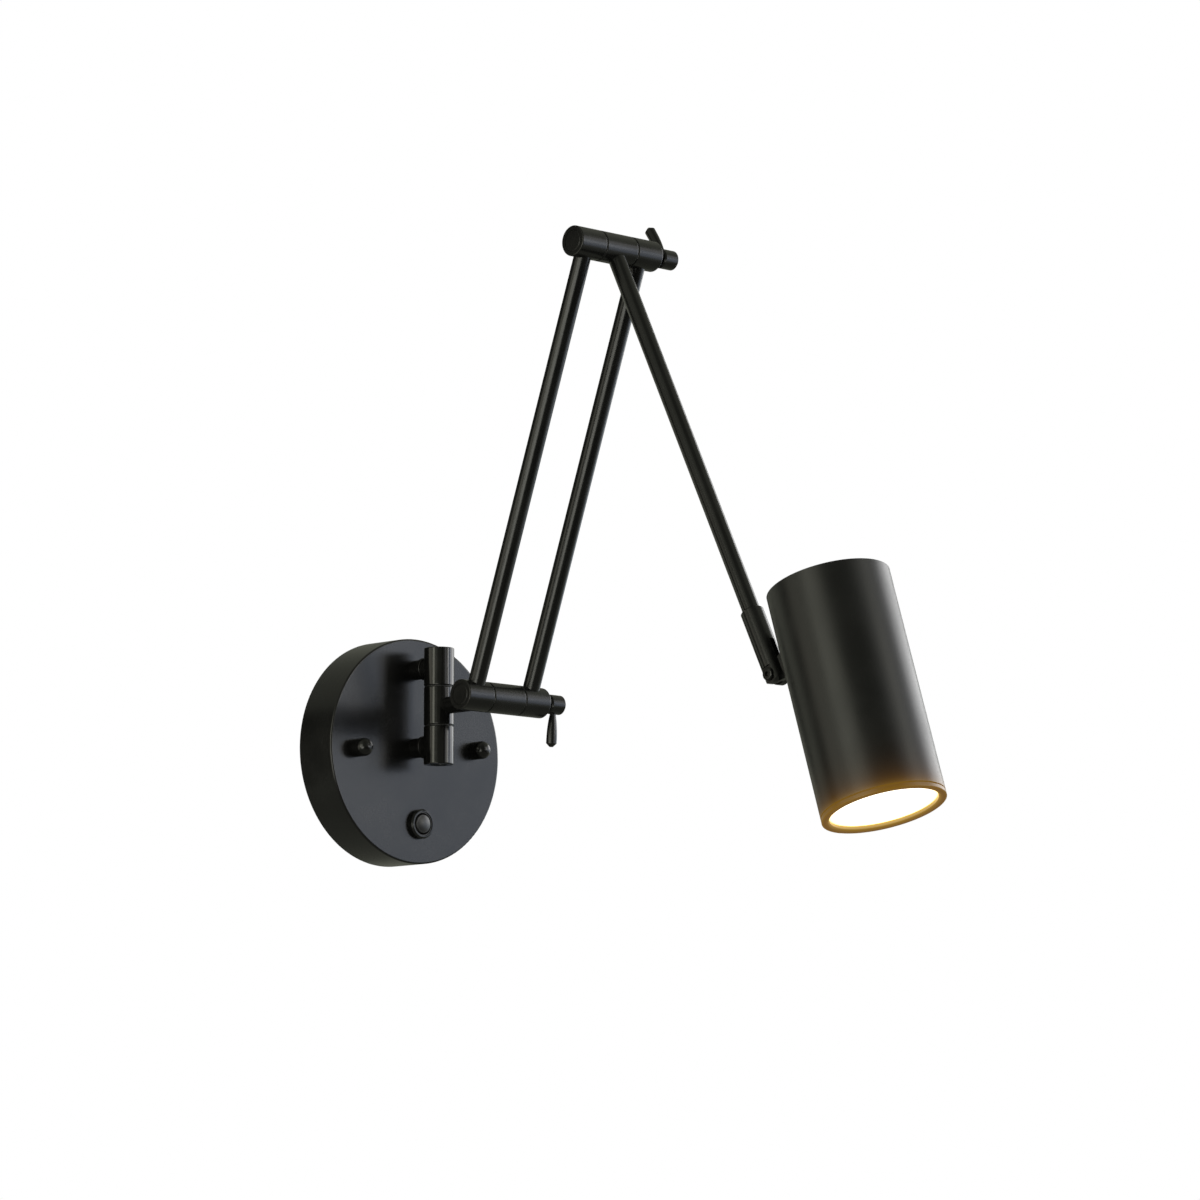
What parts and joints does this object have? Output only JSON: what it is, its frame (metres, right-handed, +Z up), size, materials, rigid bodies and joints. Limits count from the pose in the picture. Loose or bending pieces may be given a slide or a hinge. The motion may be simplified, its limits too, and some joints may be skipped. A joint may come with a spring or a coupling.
{
  "type": "swing arm wall lamp",
  "caption": "Wall lamp with a round canopy and push button, a swivel hinge, a jointed rod arm on clamped cross bars, and a tilting tube-shaped head with a frosted light.",
  "frame": {"origin": "middle of the wall strap's back face, on the wall, on the canopy's axis", "axes": "+Z up, -Y straight out from the wall towards the room, +X to the right seen from the room"},
  "size_m": [0.12, 0.3905, 0.3321],
  "materials": {
    "black_coat": "satin",
    "black_hardware": "satin",
    "zinc_steel": "satin",
    "black_nylon": "matte",
    "pale_plastic": "matte",
    "frosted_light": "satin",
    "bare_aluminium": "satin",
    "phosphor": "matte"
  },
  "bodies": {
    "wall_base": {"wall_bracket": "zinc_steel", "bracket_screws": "zinc_steel", "canopy": "black_coat", "cap_nuts": "black_hardware", "terminal_block": "pale_plastic", "terminal_screws": "zinc_steel", "upper_post": "black_coat", "lower_post": "black_coat", "post_washers": "zinc_steel", "post_nuts": "zinc_steel", "upper_knuckle": "black_coat", "lower_knuckle": "black_coat", "hinge_pin": "zinc_steel", "hinge_washers": "black_nylon", "switch_body": "black_nylon", "switch_collar": "black_hardware"},
    "button": {"switch_button": "black_nylon"},
    "swing_neck": {"middle_knuckle": "black_coat", "neck": "black_coat", "lower_bar_centre": "black_coat", "lower_axle": "zinc_steel"},
    "lower_arm": {"lower_bar_left": "black_coat", "lower_bar_right": "black_coat", "lower_bar_washers": "black_nylon", "lower_end_plug": "black_coat", "left_rod": "black_coat", "right_rod": "black_coat", "upper_bar_left": "black_coat", "upper_bar_right": "black_coat", "upper_bar_washers": "black_nylon", "upper_end_plug": "black_coat"},
    "lower_clamp": {"lower_clamp_screw": "black_hardware", "lower_clamp_lever": "black_hardware"},
    "upper_clamp": {"upper_clamp_screw": "black_hardware", "upper_clamp_lever": "black_hardware"},
    "outer_arm": {"upper_bar_centre": "black_coat", "upper_axle": "zinc_steel", "upper_arm": "black_coat", "arm_fork": "black_coat", "pivot_screw": "black_hardware", "pivot_nut": "black_hardware"},
    "lamp_head": {"head_lug": "black_coat", "lug_screws": "zinc_steel", "head_shell": "black_coat", "top_cap": "black_coat", "trim_ring": "black_coat", "diffuser": "frosted_light", "reflector": "pale_plastic", "led_board": "bare_aluminium", "led_emitter": "phosphor", "heat_sink": "bare_aluminium", "led_driver": "pale_plastic"}
  },
  "joints": [
    {"name": "button_press", "type": "slide", "parent": "wall_base", "child": "button", "axis": [0, 1, 0], "range_m": [0, 0.002], "stiffness_N_per_m": 1000},
    {"name": "arm_swing", "type": "hinge", "parent": "wall_base", "child": "swing_neck", "pos_m": [0, -0.04275, 0.0225], "axis": [0, 0, 1], "range_deg": [-65, 50]},
    {"name": "lower_tilt", "type": "hinge", "parent": "swing_neck", "child": "lower_arm", "pos_m": [0, -0.09075, 0.0225], "axis": [1, 0, 0], "range_deg": [-30, 45]},
    {"name": "elbow", "type": "hinge", "parent": "lower_arm", "child": "outer_arm", "pos_m": [0, -0.17451, 0.24954], "axis": [1, 0, 0], "range_deg": [-90, 15]},
    {"name": "head_tilt", "type": "hinge", "parent": "outer_arm", "child": "lamp_head", "pos_m": [0, -0.28951, 0.01747], "axis": [1, 0, 0], "range_deg": [-20, 90]},
    {"name": "lower_clamp_turn", "type": "hinge", "parent": "lower_arm", "child": "lower_clamp", "pos_m": [0, -0.09075, 0.0225], "axis": [1, 0, 0], "range_deg": [-20, 120]},
    {"name": "upper_clamp_turn", "type": "hinge", "parent": "lower_arm", "child": "upper_clamp", "pos_m": [0, -0.17451, 0.24954], "axis": [1, 0, 0], "range_deg": [-20, 120]}
  ]
}
